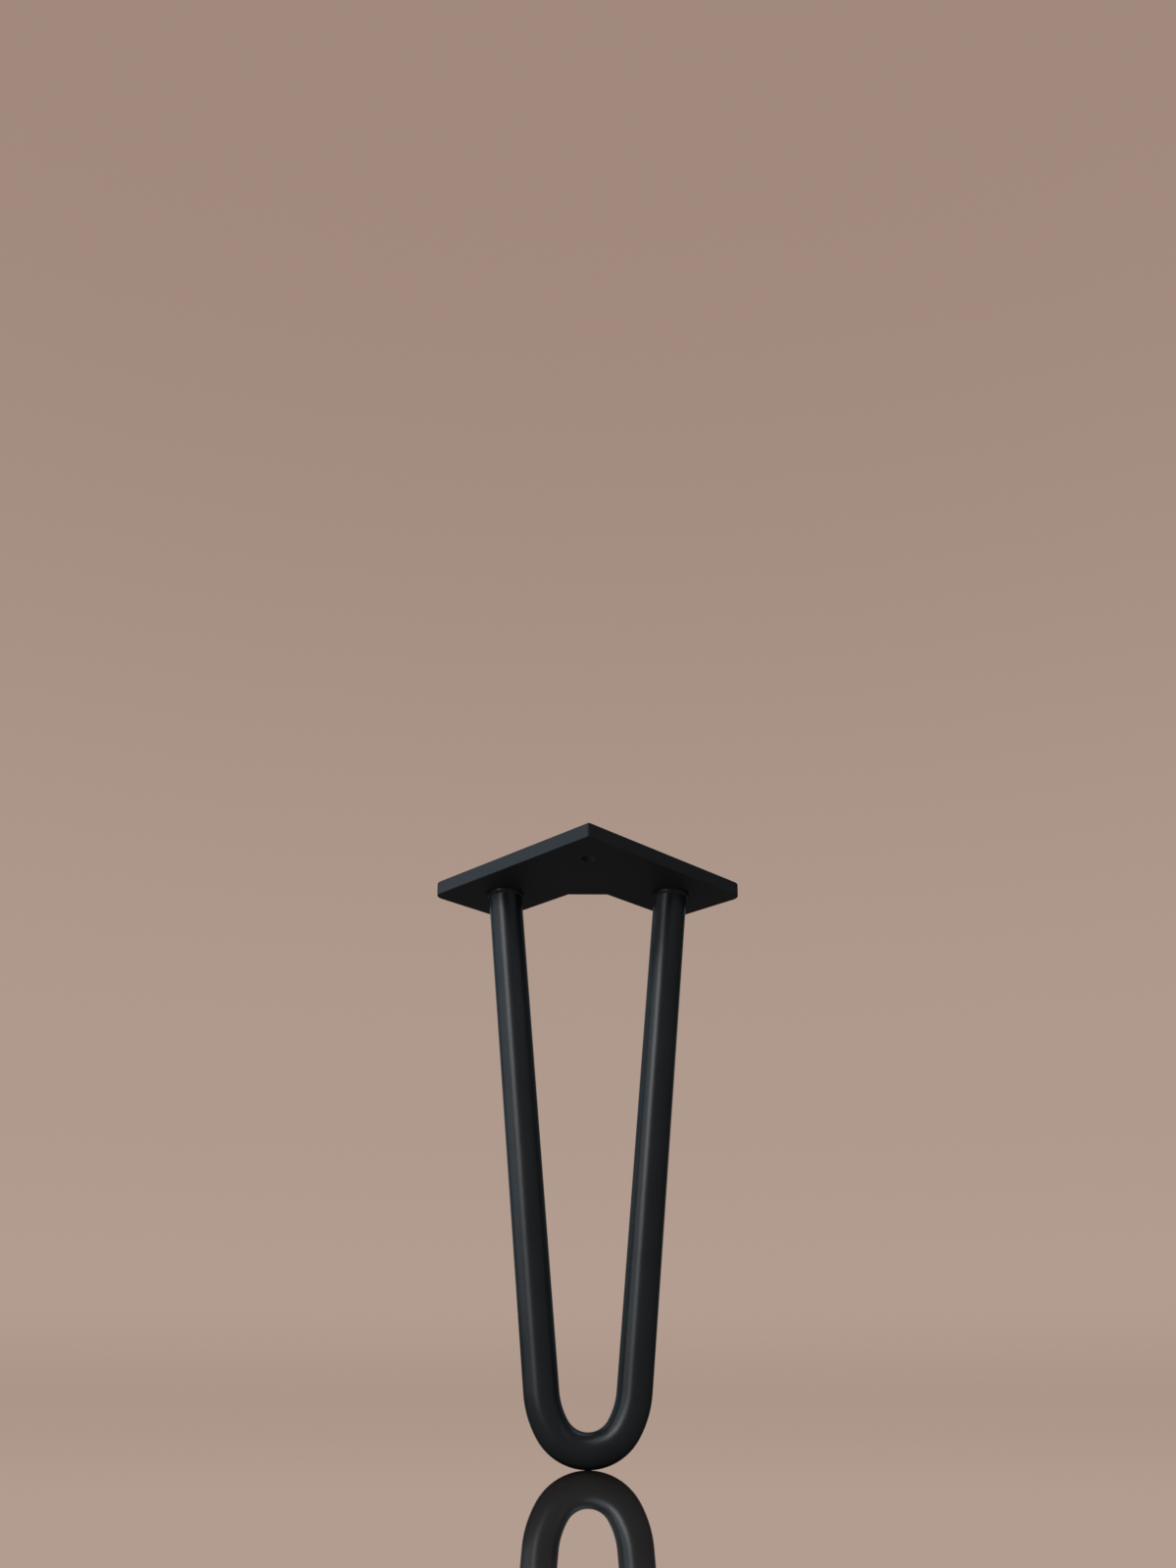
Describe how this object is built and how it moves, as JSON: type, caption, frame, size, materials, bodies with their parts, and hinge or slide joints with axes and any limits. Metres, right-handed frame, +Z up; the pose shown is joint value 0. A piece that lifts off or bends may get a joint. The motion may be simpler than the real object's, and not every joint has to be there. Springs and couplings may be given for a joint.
{
  "type": "hairpin table leg",
  "caption": "Hairpin table leg: a round steel bar bent into a narrow U and welded by its ends under an angle plate, which screws to the underside of a table, bench or cabinet.",
  "frame": {"origin": "on the plate's mounting face, straight above the foot", "axes": "+Z up into the table top, -Y towards the plate's outer corner, +X to the right seen from there"},
  "size_m": [0.1112, 0.0793, 0.208],
  "materials": {
    "black_coat": "satin"
  },
  "bodies": {
    "root": {"mounting_plate": "black_coat", "hairpin_rod": "black_coat", "weld_left": "black_coat", "weld_right": "black_coat"}
  },
  "joints": []
}
